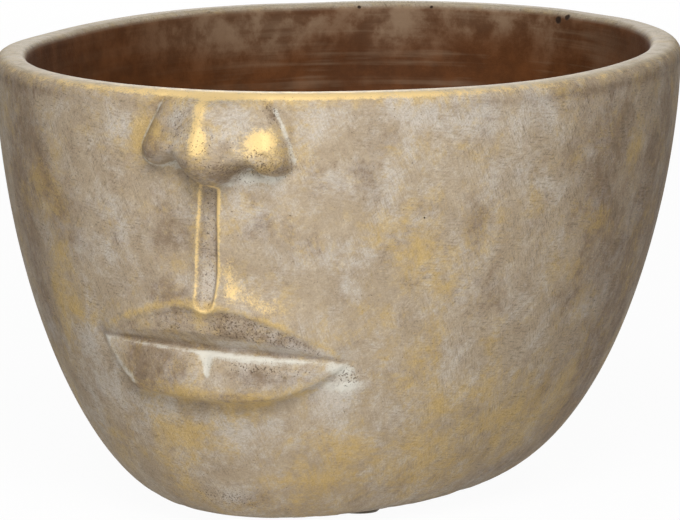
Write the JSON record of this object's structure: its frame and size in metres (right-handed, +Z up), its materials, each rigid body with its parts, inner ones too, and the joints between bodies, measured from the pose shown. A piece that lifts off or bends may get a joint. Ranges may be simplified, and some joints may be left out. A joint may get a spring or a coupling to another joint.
{
  "type": "head planter",
  "caption": "Oval cast cement planter shaped as the lower half of a head, with nose and closed lips on its front, open at the top, with a lift-out drain plug.",
  "frame": {"origin": "on the ground under the pot, midway between the tip of the nose and the back of the rim", "axes": "+Z up out of the planting opening, -Y the way the face looks, +X to the face's own left"},
  "size_m": [0.2498, 0.3251, 0.165],
  "materials": {
    "cement": "cast cement, dark undercoat with a brushed beige and gold patina",
    "plug_rubber": "matt moulded rubber",
    "pad_rubber": "matt rubber"
  },
  "bodies": {
    "pot": {"pot_body": "cement", "foot_pad_front_left": "pad_rubber", "foot_pad_front_right": "pad_rubber", "foot_pad_back_left": "pad_rubber", "foot_pad_back_right": "pad_rubber"},
    "plug": {"drain_plug": "plug_rubber"}
  },
  "joints": [
    {"name": "plug_lift", "type": "slide", "parent": "pot", "child": "plug", "axis": [0, 0, 1], "range_m": [0, 0.18]}
  ]
}
